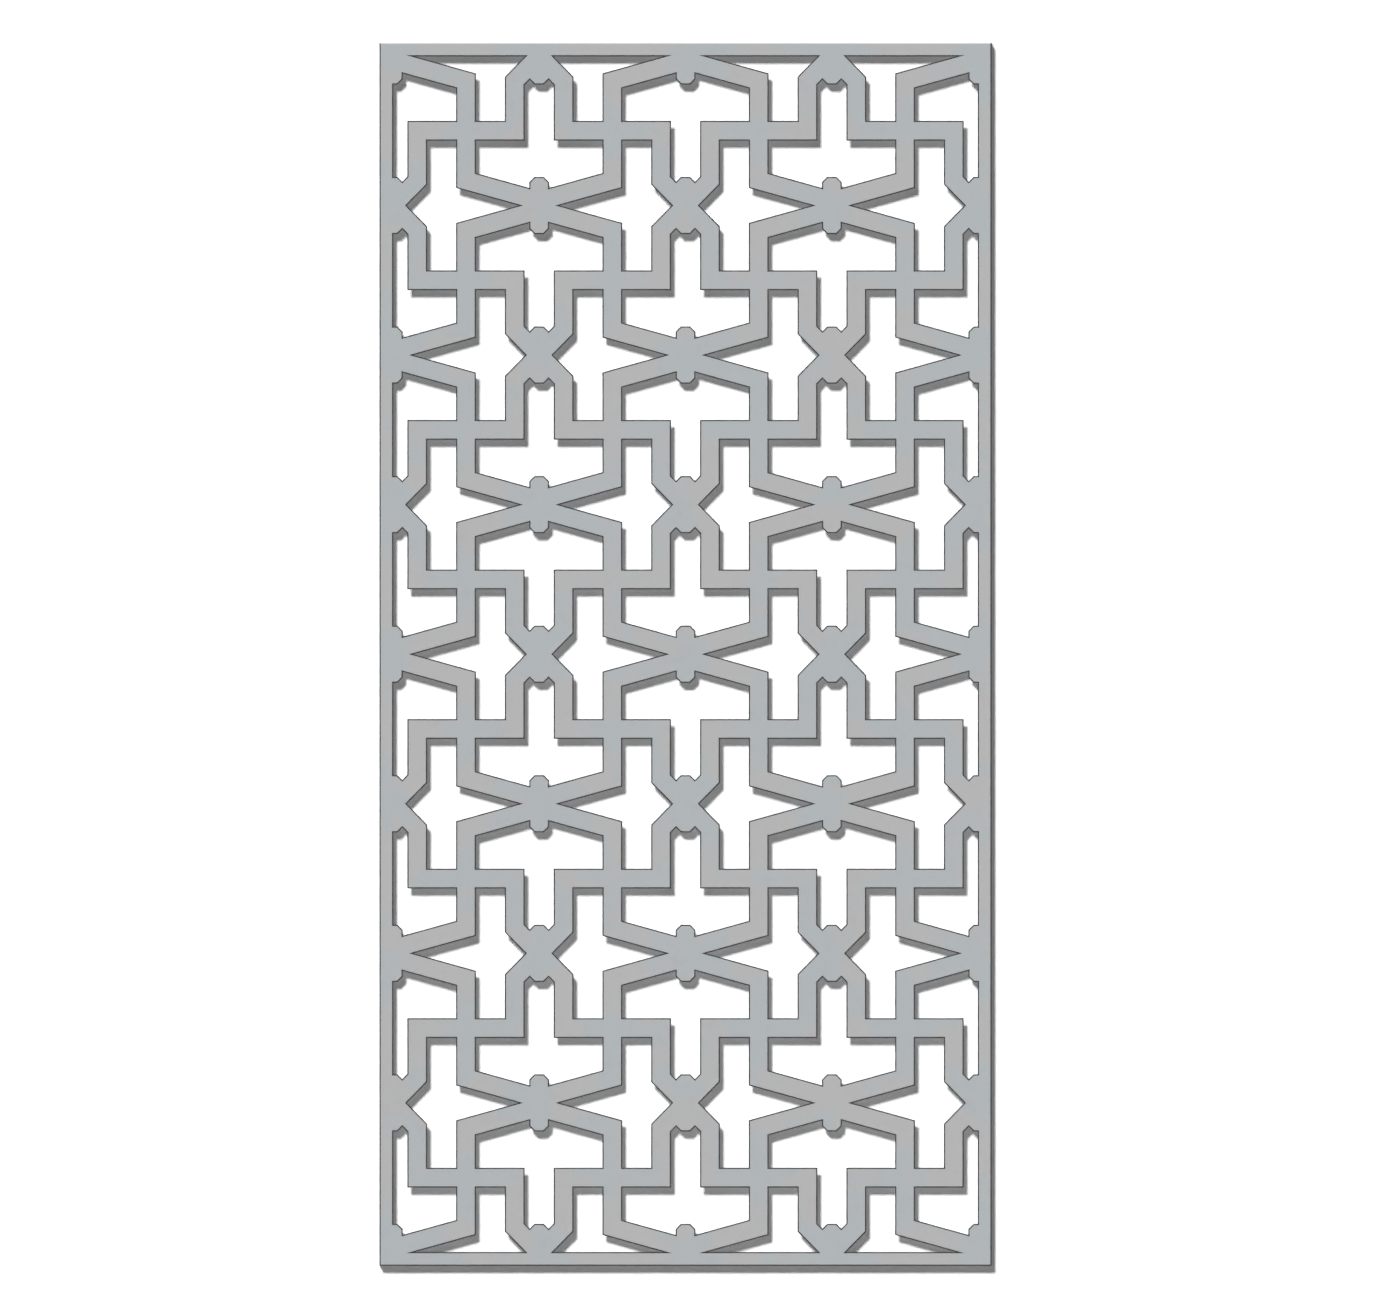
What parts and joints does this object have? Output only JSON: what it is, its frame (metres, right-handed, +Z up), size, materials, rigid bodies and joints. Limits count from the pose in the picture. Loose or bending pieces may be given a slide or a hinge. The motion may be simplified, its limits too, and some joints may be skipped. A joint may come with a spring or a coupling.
{
  "type": "laser cut metal screen",
  "caption": "Tall flat metal screen: a fretwork lattice cut through one sheet, clamped to a hidden mitred frame of steel angle, to fix between posts, in a reveal or against a wall.",
  "frame": {"origin": "middle of the screen's footprint, at its lowest edge", "axes": "+Z up along the screen's height, +X to the right as seen from the front, and the lattice sheet's face looks along -Y"},
  "size_m": [1.22, 0.028, 2.438],
  "materials": {
    "sheet_steel": "satin, bare and lacquered, with dark laser-cut edges",
    "angle_steel": "mill finish, lacquered",
    "plate_zinc": "hot-dip galvanised, with fine crystals",
    "stud_copper": "thin copper plating on steel",
    "nut_zinc": "bright zinc plated"
  },
  "bodies": {
    "root": {"lattice_sheet": "sheet_steel", "left_angle": "angle_steel", "left_stud_1": "stud_copper", "left_nut_1": "nut_zinc", "left_stud_2": "stud_copper", "left_nut_2": "nut_zinc", "left_stud_3": "stud_copper", "left_nut_3": "nut_zinc", "left_stud_4": "stud_copper", "left_nut_4": "nut_zinc", "left_stud_5": "stud_copper", "left_nut_5": "nut_zinc", "left_stud_6": "stud_copper", "left_nut_6": "nut_zinc", "left_stud_7": "stud_copper", "left_nut_7": "nut_zinc", "right_angle": "angle_steel", "right_stud_1": "stud_copper", "right_nut_1": "nut_zinc", "right_stud_2": "stud_copper", "right_nut_2": "nut_zinc", "right_stud_3": "stud_copper", "right_nut_3": "nut_zinc", "right_stud_4": "stud_copper", "right_nut_4": "nut_zinc", "right_stud_5": "stud_copper", "right_nut_5": "nut_zinc", "right_stud_6": "stud_copper", "right_nut_6": "nut_zinc", "right_stud_7": "stud_copper", "right_nut_7": "nut_zinc", "bottom_angle": "angle_steel", "bottom_stud_1": "stud_copper", "bottom_nut_1": "nut_zinc", "bottom_stud_2": "stud_copper", "bottom_nut_2": "nut_zinc", "bottom_stud_3": "stud_copper", "bottom_nut_3": "nut_zinc", "bottom_stud_4": "stud_copper", "bottom_nut_4": "nut_zinc", "top_angle": "angle_steel", "top_stud_1": "stud_copper", "top_nut_1": "nut_zinc", "top_stud_2": "stud_copper", "top_nut_2": "nut_zinc", "top_stud_3": "stud_copper", "top_nut_3": "nut_zinc", "top_stud_4": "stud_copper", "top_nut_4": "nut_zinc", "corner_plate_bottom_left": "plate_zinc", "corner_plate_bottom_right": "plate_zinc", "corner_plate_top_right": "plate_zinc", "corner_plate_top_left": "plate_zinc"}
  },
  "joints": []
}
